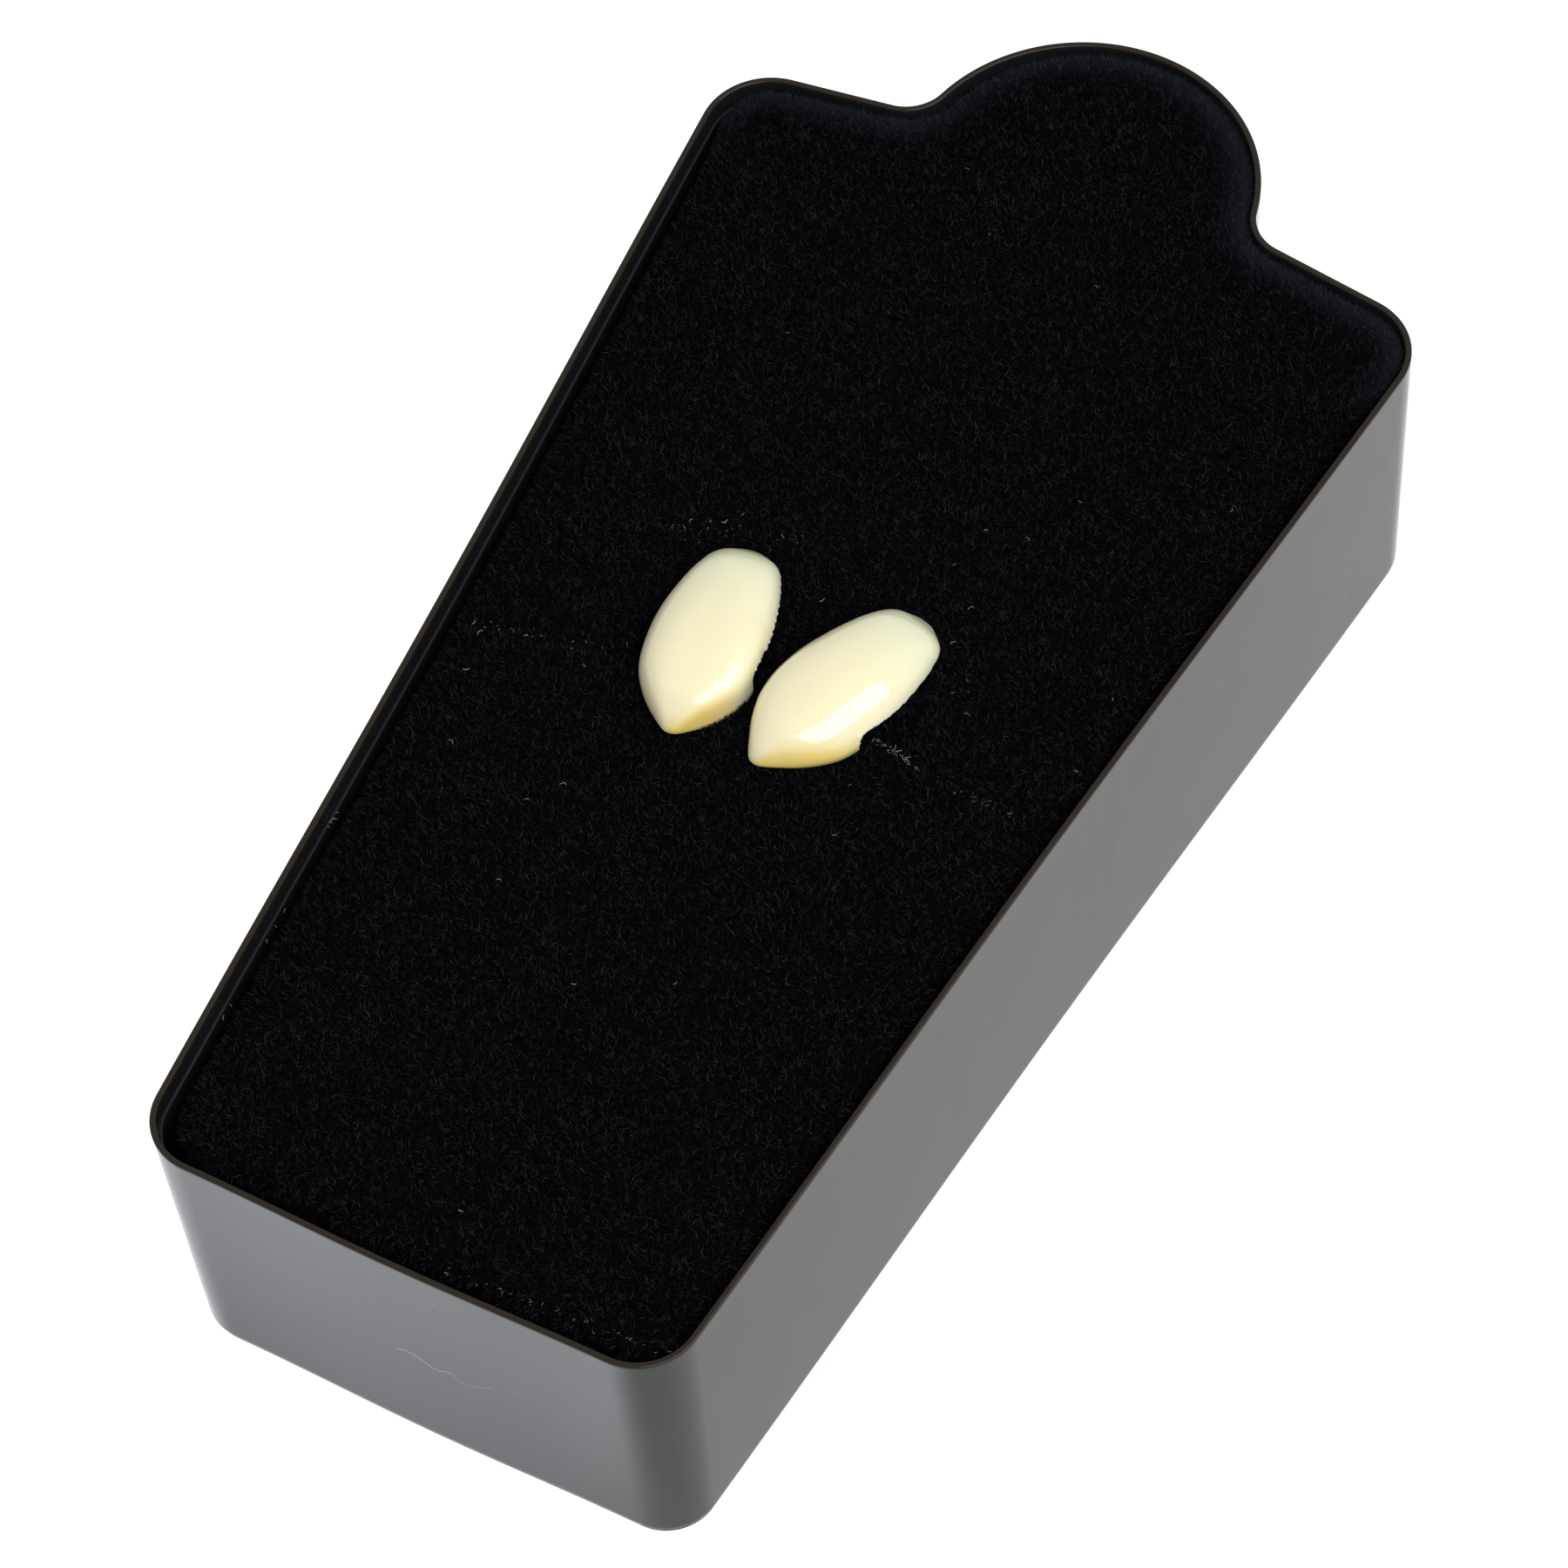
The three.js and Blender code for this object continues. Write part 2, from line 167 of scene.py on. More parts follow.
softbox_data = bpy.data.lights.new("softbox", "AREA")
softbox_data.shape = "RECTANGLE"
softbox_data.size, softbox_data.size_y = SOFTBOX_SIZE
softbox_data.energy = SOFTBOX_POWER
softbox = bpy.data.objects.new("softbox", softbox_data)
softbox.location = TARGET + SOFTBOX_SIDE.normalized() * SOFTBOX_DISTANCE
softbox.rotation_euler = SOFTBOX_SIDE.to_track_quat("Z", "Y").to_euler()
scene.collection.objects.link(softbox)

# Tray
# The open half of a coffin-shaped box, injection-moulded in black polystyrene with walls just under a millimetre.
# Its rim is stepped: a thin lip stands outside a small ledge where the lid's edge seats.
# Its outer walls are bright mirrors of the white table, with a little waviness from the mould and some scuffs.
FOOT_WIDTH, SHOULDER_WIDTH, BODY_LENGTH, SHOULDER_SLOPE = 44, 62.4, 107.3, 0.14
HEAD_RADIUS, HEAD_ABOVE_SHOULDERS, HEAD_OFFSET = 14.4, 1.3, -0.5
FOOT_CORNER, SHOULDER_CORNER, HEAD_FILLET = 4.9, 5.6, 3.6
SIDE_BOW, FOOT_BOW = -0.3, 0.25
ROW_MIDDLE = 61.375
TRAY_HEIGHT, DRAFT, WALL, FLOOR = 27, 0.65, 0.9, 1.2
LIP_WALL, LIP_DEPTH, LEDGE_WALL = 0.5, 1.8, 0.68
BASE_ROUND, RIM_ROUND, LEDGE_ROUND, FLOOR_ROUND = 0.8, 0.15, 0.08, 0.8


def unit(v):
    return v / np.linalg.norm(v)


def angle_of(v):
    return math.atan2(v[1], v[0]) % (2 * math.pi)


def arc_run(centre, radius, start, sweep, steps, outward=1):
    """Points of an arc with their outward directions, as rows of four numbers."""
    angles = start + sweep * np.linspace(0, 1, steps + 1)
    directions = np.stack([np.cos(angles), np.sin(angles)], axis=1)
    return np.hstack([centre + radius * directions, outward * directions])


def corner_run(before, at, after, radius, steps):
    """The arc that rounds the corner at "at"."""
    to_back, to_on = unit(before - at), unit(after - at)
    half = math.acos(to_back @ to_on) / 2
    centre = at + unit(to_back + to_on) * radius / math.sin(half)
    return arc_run(centre, radius, angle_of((-to_back[1], to_back[0])), math.pi - 2 * half, steps)


def edge_run(start, end, bow, steps):
    """The points between two runs, bowed out at their middle."""
    along = unit(end - start)
    outward = np.array([along[1], -along[0]])
    share = np.arange(1, steps)[:, None] / steps
    lift = bow * (1 - np.cos(2 * math.pi * share)) / 2
    return np.hstack([start + share * (end - start) + lift * outward, np.repeat(outward[None], steps - 1, axis=0)])


def right_half(head_offset):
    """The outline from the middle of the foot to the top of the round head."""
    foot, shoulder = np.array([FOOT_WIDTH / 2, 0]), np.array([SHOULDER_WIDTH / 2, BODY_LENGTH])
    head = np.array([head_offset, BODY_LENGTH + HEAD_ABOVE_SHOULDERS])
    rise = unit(np.array([-1, SHOULDER_SLOPE]))
    across = np.array([rise[1], -rise[0]])
    start = shoulder + across * HEAD_FILLET - head
    to_fillet = -(start @ rise) - math.sqrt((start @ rise) ** 2 - start @ start + (HEAD_RADIUS + HEAD_FILLET) ** 2)
    from_head = start + rise * to_fillet
    fillet_start = angle_of(-across)
    foot_corner = corner_run(np.zeros(2), foot, shoulder, FOOT_CORNER, 20)
    shoulder_corner = corner_run(foot, shoulder, shoulder + rise, SHOULDER_CORNER, 20)
    fillet_sweep = angle_of(-from_head) - fillet_start
    fillet = arc_run(head + from_head, HEAD_FILLET, fillet_start, fillet_sweep, 16, outward=-1)
    top = arc_run(head, HEAD_RADIUS, angle_of(from_head), math.pi / 2 - angle_of(from_head), 48)
    side = edge_run(foot_corner[-1, :2], shoulder_corner[0, :2], SIDE_BOW, 70)
    foot_side = edge_run(np.zeros(2), foot_corner[0, :2], 0, 16)
    middle = np.array([[0, 0, 0, -1]])
    head_side = edge_run(shoulder_corner[-1, :2], fillet[0, :2], 0, 8)
    return np.vstack([middle, foot_side, foot_corner, side, shoulder_corner, head_side, fillet, top[1:]])


mirrored = right_half(-HEAD_OFFSET)[1:-1][::-1] * [-1, 1, -1, 1]
rim = np.vstack([right_half(HEAD_OFFSET), mirrored])
foot_share = np.clip(1 - np.abs(rim[:, 0]) / (FOOT_WIDTH / 2 - FOOT_CORNER), 0, 1) * (rim[:, 3] == -1)
rim[:, 1] -= FOOT_BOW * (1 - np.cos(math.pi * foot_share)) / 2
rim[:, 1] -= ROW_MIDDLE


def ring(inset, z):
    """The rim outline moved inwards, by one distance or by one for each point, at a height."""
    return np.column_stack([rim[:, :2] - inset * rim[:, 2:], np.full(len(rim), z)])


def draft(z):
    return DRAFT * (1 - z / TRAY_HEIGHT)


def quarter(radius, steps):
    """Steps round a quarter circle: how far in, and how far up from the tangent point."""
    angles = np.linspace(0, math.pi / 2, steps + 1)
    return zip(radius * (1 - np.sin(angles)), radius * (1 - np.cos(angles)))


def loft(name, rings):
    """A closed skin through rings of equal length."""
    count, total = len(rings[0]), len(rings)
    faces = [
        (k * count + i, k * count + (i + 1) % count, (k + 1) * count + (i + 1) % count, (k + 1) * count + i)
        for k in range(total - 1)
        for i in range(count)
    ]
    ends = [tuple(range(count)), tuple(range((total - 1) * count, total * count))]
    return solid(name, np.concatenate(rings), faces + ends)


ledge = TRAY_HEIGHT - LIP_DEPTH
profile = [(draft(rise) + side, rise) for side, rise in quarter(BASE_ROUND, 8)]
profile += [(draft(z), z) for z in np.linspace(1.1, 26.6, 12)]
profile += [(side, TRAY_HEIGHT - rise) for side, rise in reversed(list(quarter(RIM_ROUND, 5)))]
profile += [(0.2, TRAY_HEIGHT), (LIP_WALL - 0.2, TRAY_HEIGHT)]
profile += [(LIP_WALL - side, TRAY_HEIGHT - rise) for side, rise in quarter(RIM_ROUND, 5)]
profile += [(LIP_WALL + draft(z), z) for z in (26.6, ledge + 0.15, ledge)]
ledge_edge = LEDGE_WALL + draft(ledge)
profile += [(ledge_edge - side, ledge - rise) for side, rise in quarter(LEDGE_ROUND, 3)]
profile += [(LEDGE_WALL + draft(z), z) for z in np.linspace(ledge - 0.3, 2.3, 8)]
floor_round = reversed(list(quarter(FLOOR_ROUND, 5)))
profile += [(LEDGE_WALL + draft(FLOOR + rise) + side, FLOOR + rise) for side, rise in floor_round]
tray = loft("tray_shell", [ring(inset, z) for inset, z in profile])

# Glossy black polystyrene as it leaves a polished mould: a sharp mirror with slow waves, fine scuffs that dull it in
# streaks, a brownish painted reflection of the room on the top of the rim, and sparse grains of dust.
polystyrene, tree, surface = material("glossy_moulded_black_polystyrene", {
    "Base Color": linear("#17181b"),
    "Roughness": 0.12,
    "IOR": 1.34,
})
place = node(tree, "ShaderNodeTexCoord").outputs["Object"]
waves = node(tree, "ShaderNodeTexNoise", {"Scale": 55, "Detail": 2}, {"Vector": place}).outputs[0]
stretched = node(tree, "ShaderNodeMapping", {"Scale": (1, 1, 0.25)}, {"Vector": place}).outputs[0]
scuffs = node(tree, "ShaderNodeTexNoise", {"Scale": 700, "Detail": 4}, {"Vector": stretched}).outputs[0]
smudges = node(tree, "ShaderNodeTexNoise", {"Scale": 120, "Detail": 3}, {"Vector": stretched}).outputs[0]
both = node(tree, "ShaderNodeMath", links={0: scuffs, 1: smudges}, operation="MULTIPLY").outputs[0]
dull = node(tree, "ShaderNodeMapRange", {1: 0.2, 2: 0.45, 3: 0.08, 4: 0.19}, {0: both}).outputs[0]
tree.links.new(dull, surface.inputs["Roughness"])
grains = node(tree, "ShaderNodeTexVoronoi", {"Scale": 420}, {"Vector": place}).outputs["Distance"]
rare = node(tree, "ShaderNodeTexNoise", {"Scale": 300}, {"Vector": place}).outputs[0]
here = node(tree, "ShaderNodeMath", {1: 0.6}, {0: rare}, operation="GREATER_THAN").outputs[0]
grain = node(tree, "ShaderNodeMapRange", {1: 0.03, 2: 0.055, 3: 1, 4: 0}, {0: grains}).outputs[0]
dust = node(tree, "ShaderNodeMath", links={0: grain, 1: here}, operation="MULTIPLY").outputs[0]
height = node(tree, "ShaderNodeSeparateXYZ", links={0: place}).outputs["Z"]
# Painted reflection: the top band of the rim is tinted brownish in place of the room it mirrors.
painted_rim_reflection = node(tree, "ShaderNodeMapRange", {1: 0.0266, 2: 0.0269}, {0: height}).outputs[0]
plain = node(
    tree, "ShaderNodeMix", {6: linear("#17181b"), 7: linear("#251d14")}, {0: painted_rim_reflection}, data_type="RGBA"
).outputs[2]
colour = node(tree, "ShaderNodeMix", {7: linear("#55534f")}, {0: dust, 6: plain}, data_type="RGBA")
tree.links.new(colour.outputs[2], surface.inputs["Base Color"])
slow = node(tree, "ShaderNodeBump", {"Strength": 1, "Distance": 0.00006}, {"Height": waves}).outputs[0]
fine = node(tree, "ShaderNodeBump", {"Strength": 0.25, "Distance": 0.000004}, {"Height": scuffs, "Normal": slow})
tree.links.new(fine.outputs[0], surface.inputs["Normal"])
tray.data.materials.append(polystyrene)
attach(tray, "root")
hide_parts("tray")

# The part of the light table that the tray covers gets no light, so the foot of the walls ends in a thin dark line.
SHADE_INSET = 0.22
shade_acrylic, _, _ = material("shaded_table_acrylic", {"Base Color": linear("#000000"), "Roughness": 0.9})
covered = solid("covered_table", ring(DRAFT + SHADE_INSET, -FLOOR_DROP * 500), [tuple(range(len(rim)))])
covered.data.materials.append(shade_acrylic)

# Scratch
# Something has dragged across the foot wall and left one shallow scratch with raised, pale edges.
SCRATCH = [(-1.4, 13.0), (-0.2, 13.6), (1.2, 12.9), (1.9, 12.4), (3.3, 13.2), (4.2, 11.9), (7.2, 13.9)]
SCRATCH_WIDTH, SCRATCH_STEPS = 0.065, 120
chance = np.random.default_rng(4)
bends = np.array(SCRATCH)
share = np.linspace(0, len(bends) - 1, SCRATCH_STEPS)
straight = [
    np.interp(share, range(len(bends)), bends[:, k]) + chance.normal(0, 0.1, SCRATCH_STEPS) for k in (0, 1)
]
run = np.column_stack([
    np.convolve(np.pad(line, 6, mode="edge"), np.ones(13) / 13, mode="valid") for line in straight
])
reach = SCRATCH_WIDTH * chance.uniform(0.2, 1.3, SCRATCH_STEPS)
reach *= np.interp(share, [0, 0.2, 3.5, 6], [0.5, 1, 0.9, 0.3])
bowed = FOOT_BOW * (1 - np.cos(math.pi * (1 - np.abs(run[:, 0]) / (FOOT_WIDTH / 2 - FOOT_CORNER)))) / 2
face = draft(run[:, 1]) - ROW_MIDDLE - bowed
turns = np.linspace(0, 2 * math.pi, 5, endpoint=False)
rings = [
    np.column_stack([np.full(5, x), y + 0.6 * r * np.cos(turns), z + r * np.sin(turns)])
    for (x, z), y, r in zip(run, face, reach)
]
scratch = loft("wall_scratch", rings)
scuffed, _, _ = material("scuffed_pale_polystyrene", {"Base Color": linear("#a4a8ab"), "Roughness": 0.7})
scratch.data.materials.append(scuffed)
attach(scratch, "root")

# Fang caps
# Each is a hollow ivory tooth cast in dental acrylic and polished by hand: a long curved shell over the gum, and a
# closed cup towards the tip. Its open back is tucked into the slit, so that the tip points to the foot.
FANG_LENGTH, FANG_WIDTH, FANG_CREST, FANG_HEEL, FANG_WAIST = 17.9, 9.1, 3.05, 3.75, 0.85
FANG_SQUARENESS, FANG_SHELL, TIP_REACH = 2.15, 0.85, 6.3
MOUTH_BACK, NOTCH_HEIGHT, NOTCH_ROUND, GUM_EDGE_HEIGHT = 0.25, 1.5, 0.9, 0.3
HOLLOW_FROM, HOLLOW_TO = 0.03, 0.82
# Rows from the gum end to the tip: shares of the length, half width, crest, heel and waist.
SECTIONS = np.array([
    (0.0, 0.12, 0.03, 0.05, 0.6),
    (0.015, 0.27, 0.15, 0.15, 0.6),
    (0.06, 0.56, 0.42, 0.35, 0.65),
    (0.15, 0.74, 0.7, 0.6, 0.8),
    (0.28, 0.89, 0.85, 0.85, 0.95),
    (0.44, 1.0, 0.97, 1.0, 1.0),
    (0.6, 1.0, 1.0, 1.0, 1.0),
    (0.74, 0.9, 0.91, 0.76, 0.9),
    (0.86, 0.63, 0.78, 0.46, 0.75),
    (0.95, 0.31, 0.46, 0.19, 0.6),
    (0.99, 0.14, 0.18, 0.07, 0.55),
    (1.0, 0.07, 0.05, 0.02, 0.5),
])
FANG_PLACES = {"fang_left": (-5.1, 7.5), "fang_right": (4.9, -17.5)}
# Each cap is finished by hand, so they differ a little: how square the cup is on its left and right sides, and how
# far its tip is moved across and back.
HAND_WORK = {"fang_left": ((2.15, 3.7), (0, 0.4)), "fang_right": ((2.7, 1.8), (-0.45, 0))}
INSERT_TOP = 26.3
SLIT_FROM_FOOT, SLIT_LENGTH, SLIT_SLOPE, SLIT_SAG, SLIT_DEPTH = 54.7, 43, 0.039, 2.3, 12
VOXEL = 0.00012


def section(along):
    """The table's row at any share of the length, on a smooth curve through its rows."""
    k = int(np.clip(np.searchsorted(SECTIONS[:, 0], along, side="right") - 1, 0, len(SECTIONS) - 2))
    a, b = SECTIONS[k], SECTIONS[k + 1]
    before, after = SECTIONS[max(k - 1, 0)], SECTIONS[min(k + 2, len(SECTIONS) - 1)]
    span = b[0] - a[0]
    t = (along - a[0]) / span
    slope_a = (b - before) / (b[0] - before[0]) * span
    slope_b = (after - a) / (after[0] - a[0]) * span
    return (
        (2 * t**3 - 3 * t**2 + 1) * a
        + (t**3 - 2 * t**2 + t) * slope_a
        + (3 * t**2 - 2 * t**3) * b
        + (t**3 - t**2) * slope_b
    )


def signed_power(value, exponent):
    return np.sign(value) * np.abs(value) ** exponent


def fang_rings(hand, grow, start, end, stations, sides):
    """The cap's outer form grown all round, as rings from the gum end to the tip, in its own frame."""
    cheeks, tip_shift = hand
    angles = np.linspace(0, 2 * math.pi, sides, endpoint=False)
    rings = []
    for s in range(stations + 1):
        along = start + (end - start) * (1 - math.cos(math.pi * s / stations)) / 2
        _, width, crest, heel, centre = section(along)
        cup = np.clip((along - 0.4) / 0.25, 0, 1)
        cheek = cheeks[0] + (cheeks[1] - cheeks[0]) * (np.cos(angles) + 1) / 2
        squareness = FANG_SQUARENESS + (cheek - FANG_SQUARENESS) * cup
        across = signed_power(np.cos(angles), 2 / squareness)
        lift = signed_power(np.sin(angles), 2 / squareness)
        half = max(FANG_WIDTH / 2 * width + grow, 0.1)
        high, low = max(FANG_CREST * crest + grow, 0.1), max(FANG_HEEL * heel + grow, 0.1)
        y = FANG_LENGTH * (1 - along) - TIP_REACH + grow * (1 - 2 * s / stations)
        z = FANG_WAIST * centre + lift * np.where(lift > 0, high, low)
        near_tip = np.clip((along - 0.7) / 0.3, 0, 1) ** 1.5
        x, y = half * across + near_tip * tip_shift[0], y + near_tip * tip_shift[1]
        rings.append(np.column_stack([x, np.full(sides, y), z]))
    return rings


def margin_rings(clearance):
    """What is cut from the tongue side: all below the side edges, behind the mouth of the cup."""
    mouth, notch = MOUTH_BACK + clearance, NOTCH_HEIGHT - clearance
    gum_edge = GUM_EDGE_HEIGHT - clearance
    turn = np.linspace(0, 1, 9)[:, None]
    start, corner, end = np.array([[mouth + NOTCH_ROUND, notch], [mouth, notch], [mouth, notch - NOTCH_ROUND]])
    rounded = (1 - turn) ** 2 * start + 2 * turn * (1 - turn) * corner + turn**2 * end
    outline = np.vstack([
        [mouth, -20],
        [30, -20],
        [30, gum_edge],
        [FANG_LENGTH - TIP_REACH, gum_edge],
        rounded,
    ])
    return [np.column_stack([np.full(len(outline), x), outline]) for x in (-20, 20)]


def slit_y(x):
    return SLIT_FROM_FOOT + SLIT_SLOPE * x - SLIT_SAG * (x / (SLIT_LENGTH / 2)) ** 2 - ROW_MIDDLE


def in_tray(points, x, turn):
    """A cap's own points where it lies in the tray."""
    c, s = math.cos(math.radians(turn)), math.sin(math.radians(turn))
    px, py, pz = points.T
    return np.column_stack([x + px * c - py * s, slit_y(x) + px * s + py * c, pz + INSERT_TOP])


def in_cap(points, x, turn):
    """Points of the tray in a cap's own frame."""
    c, s = math.cos(math.radians(turn)), math.sin(math.radians(turn))
    px, py, pz = (points - [x, slit_y(x), INSERT_TOP]).T
    return np.column_stack([px * c + py * s, -px * s + py * c, pz])


def baked(obj):
    """Gives the object the mesh that its modifiers make, and drops them."""
    mesh = bpy.data.meshes.new_from_object(obj.evaluated_get(bpy.context.evaluated_depsgraph_get()))
    obj.modifiers.clear()
    obj.data = mesh
    mesh.shade_smooth()
    return obj


def cut(obj, *cutters):
    """Cuts the cutters out of the object, and removes them."""
    for cutter in cutters:
        step = obj.modifiers.new("cut", "BOOLEAN")
        step.operation, step.solver, step.object = "DIFFERENCE", "EXACT", cutter
    baked(obj)
    for cutter in cutters:
        bpy.data.objects.remove(cutter)
    return obj


def remeshed(obj, voxel, passes):
    """An even skin of small faces, with its edges rounded by smoothing."""
    step = obj.modifiers.new("skin", "REMESH")
    step.mode, step.voxel_size = "VOXEL", voxel
    step = obj.modifiers.new("polish", "SMOOTH")
    step.factor, step.iterations = 0.5, passes
    return baked(obj)


def vertices(obj):
    """The mesh's vertices in millimetres."""
    flat = np.empty(3 * len(obj.data.vertices))
    obj.data.vertices.foreach_get("co", flat)
    return flat.reshape(-1, 3) * 1000


def store(obj, name, values):
    """Keeps one number for each vertex, for a material or a node tree to read."""
    obj.data.attributes.new(name, "FLOAT", "POINT").data.foreach_set("value", values.astype(np.float32))


# Ivory dental acrylic, hand-polished: a clear gloss over a milky body that lets light in. Its colour holds painted
# light: a painted see-through shade, greener and greyer, where the shell is thin at the gum end and greyer still at its
# very end, a painted highlight in white along its thin margin, and a painted shade in deeper yellow low down on the
# cup.
acrylic, tree, surface = material("polished_ivory_dental_acrylic", {
    "Base Color": linear("#eee6c0"),
    "Roughness": 0.04,
    "IOR": 1.49,
    "Coat Weight": 1.0,
    "Coat Roughness": 0.02,
    "Subsurface Weight": 0.35,
    "Subsurface Radius": (1.0, 0.8, 0.35),
    "Subsurface Scale": 0.0009,
})
along = node(tree, "ShaderNodeAttribute", attribute_name="along").outputs["Fac"]
facing = node(tree, "ShaderNodeAttribute", attribute_name="facing").outputs["Fac"]
place = node(tree, "ShaderNodeTexCoord").outputs["Object"]
cloud = node(tree, "ShaderNodeTexNoise", {"Scale": 260, "Detail": 2}, {"Vector": place}).outputs[0]
# Painted see-through shade: greener and greyer towards the thin gum end, where the dark foam would show through.
painted_see_through = node(tree, "ShaderNodeMapRange", {1: 0.0, 2: 0.55, 3: 1, 4: 0}, {0: along}, interpolation_type="SMOOTHSTEP")
body = node(
    tree, "ShaderNodeMix", {6: linear("#eee6c0"), 7: linear("#e2e3c3")}, {0: painted_see_through.outputs[0]}, data_type="RGBA"
).outputs[2]
# Painted see-through shade: greyer still at the very end of the shell.
edge = node(tree, "ShaderNodeMapRange", {1: 0.02, 2: 0.1, 3: 0.5, 4: 0}, {0: along}, interpolation_type="SMOOTHSTEP")
grey = node(tree, "ShaderNodeMix", {7: linear("#a7ad96")}, {0: edge.outputs[0], 6: body}, data_type="RGBA").outputs[2]
# Painted highlight: white along the thin margin, just above its cut edge.
above = node(tree, "ShaderNodeAttribute", attribute_name="above_margin").outputs["Fac"]
painted_margin_highlight = node(tree, "ShaderNodeMapRange", {1: 0.2, 2: 0.6, 3: 0.6, 4: 0}, {0: above}).outputs[0]
with_margin_highlight = node(tree, "ShaderNodeMix", {7: linear("#fffbe8")}, {0: painted_margin_highlight, 6: grey}, data_type="RGBA").outputs[2]
# Painted shade: deeper yellow on the cup where it faces down and to the front, away from the light.
low = node(tree, "ShaderNodeMapRange", {1: 0.55, 2: 0.97, 3: 0, 4: 1}, {0: facing}, interpolation_type="SMOOTHSTEP")
cup = node(tree, "ShaderNodeMapRange", {1: 0.48, 2: 0.62, 3: 0, 4: 1}, {0: along}, interpolation_type="SMOOTHSTEP")
painted_shade_low = node(tree, "ShaderNodeMath", links={0: low.outputs[0], 1: cup.outputs[0]}, operation="MULTIPLY").outputs[0]
with_painted_shade = node(tree, "ShaderNodeMix", {7: linear("#f2d87e")}, {0: painted_shade_low, 6: with_margin_highlight}, data_type="RGBA").outputs[2]
tree.links.new(with_painted_shade, surface.inputs["Base Color"])
hand = node(tree, "ShaderNodeBump", {"Strength": 1, "Distance": 0.00005}, {"Height": cloud}).outputs[0]
tree.links.new(hand, surface.inputs["Normal"])

# The left cap was polished less, so the softbox shows on it as a soft patch and not as a sharp streak.
satin_acrylic = acrylic.copy()
satin_acrylic.name = "satin_ivory_dental_acrylic"
satin = satin_acrylic.node_tree.nodes["Principled BSDF"]
satin.inputs["Roughness"].default_value = 0.3
satin.inputs["Coat Roughness"].default_value = 0.2
FINISHES = {"fang_left": satin_acrylic, "fang_right": acrylic}

for name, spot in FANG_PLACES.items():
    hand = HAND_WORK[name]
    rings = fang_rings(hand, 0, 0, 1, 110, 88)
    cap = loft(name + "_cap", [in_tray(points, *spot) for points in rings])
    hollow_rings = fang_rings(hand, -FANG_SHELL, HOLLOW_FROM, HOLLOW_TO, 70, 64)
    hollow = loft("hollow", [in_tray(points, *spot) for points in hollow_rings])
    margin = loft("margin", [in_tray(p, *spot) for p in margin_rings(0)])
    remeshed(cut(cap, hollow, margin), VOXEL, 8)
    own = in_cap(vertices(cap), *spot)
    margin_height = np.interp(own[:, 1], [MOUTH_BACK, FANG_LENGTH - TIP_REACH], [NOTCH_HEIGHT, GUM_EDGE_HEIGHT])
    if name == "fang_left":
        # Its right margin is left rough from trimming, with one nick in it.
        trimmed = np.exp(-(((own[:, 2] - margin_height) / 0.5) ** 2)) * (own[:, 0] > 2) * (own[:, 1] > MOUTH_BACK)
        ripple = np.sin(own[:, 1] * 9.0) + 0.8 * np.sin(own[:, 1] * 15.7 + 1) + 0.6 * np.sin(own[:, 1] * 24.1 + 2)
        nick = np.exp(-(((own[:, 1] - 2.3) / 0.3) ** 2)) * np.clip((2.4 - own[:, 2]) / 1.2, 0, 1)
        own[:, 0] += trimmed * 0.035 * ripple - 0.13 * nick * (own[:, 0] > 2)
        cap.data.vertices.foreach_set("co", (in_tray(own, *spot) / 1000).ravel())
        cap.data.update()
    flat = np.empty(3 * len(cap.data.vertices))
    cap.data.vertex_normals.foreach_get("vector", flat)
    store(cap, "along", 1 - (own[:, 1] + TIP_REACH) / FANG_LENGTH)
    # How far each point stands above the cut margin, for the painted highlight along it.
    store(cap, "above_margin", own[:, 2] - np.where(own[:, 1] > MOUTH_BACK, margin_height, 0.1))
    # How far each point faces down and to the front, for the painted shade low on the cup.
    store(cap, "facing", flat.reshape(-1, 3) @ unit(np.array([0.45, -0.85, -0.1])))
    cap.data.materials.clear()
    cap.data.materials.append(FINISHES[name])
    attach(cap, "root")
    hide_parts(name)

# Foam insert
# A block of soft foam cut a little smaller than the tray and pressed in, with its top edge rolled over. A knife slit
# across its middle grips the backs of the caps, and the foam gives way under the cups.
FIT_GAP, INSERT_ROUND, INSERT_EASE, HEAD_SPREAD = 0.3, 1.0, 0.35, 0.95
# How far up the tray the head's spread starts, and over what length it grows to its full measure.
HEAD_FROM, HEAD_RAMP, HEAD_MARGIN = 36, 7, 3
LIP_GAP = 0.03
PAINTED_SHEEN_REACH = 1.9
SWELL, SETTLING, SLIT_DIP = 0.05, 0.08, 0.4
FOAM_VOXEL = 0.00055
KNIFE = 0.3
POCKET_GROW = 0.1


def side_at(z):
    return WALL + draft(z) + FIT_GAP + INSERT_EASE


bottom = FLOOR + FIT_GAP
rings = [ring(side_at(bottom) + FLOOR_ROUND, bottom), ring(side_at(bottom + FLOOR_ROUND), bottom + FLOOR_ROUND)]
# At the head the soft edge is pressed out over the ledge, up to the lip.
spread = HEAD_SPREAD * np.clip((rim[:, 1] - HEAD_FROM) / HEAD_RAMP, 0, 1)[:, None]
rings.append(ring(side_at(24.6), 24.6))
rings += [
    ring(side_at(INSERT_TOP - rise) + side - spread, INSERT_TOP - rise)
    for side, rise in reversed(list(quarter(INSERT_ROUND, 8)))
]
foam = remeshed(loft("flock_foam", [points + [INSERT_EASE, INSERT_EASE, 0] for points in rings]), FOAM_VOXEL, 4)

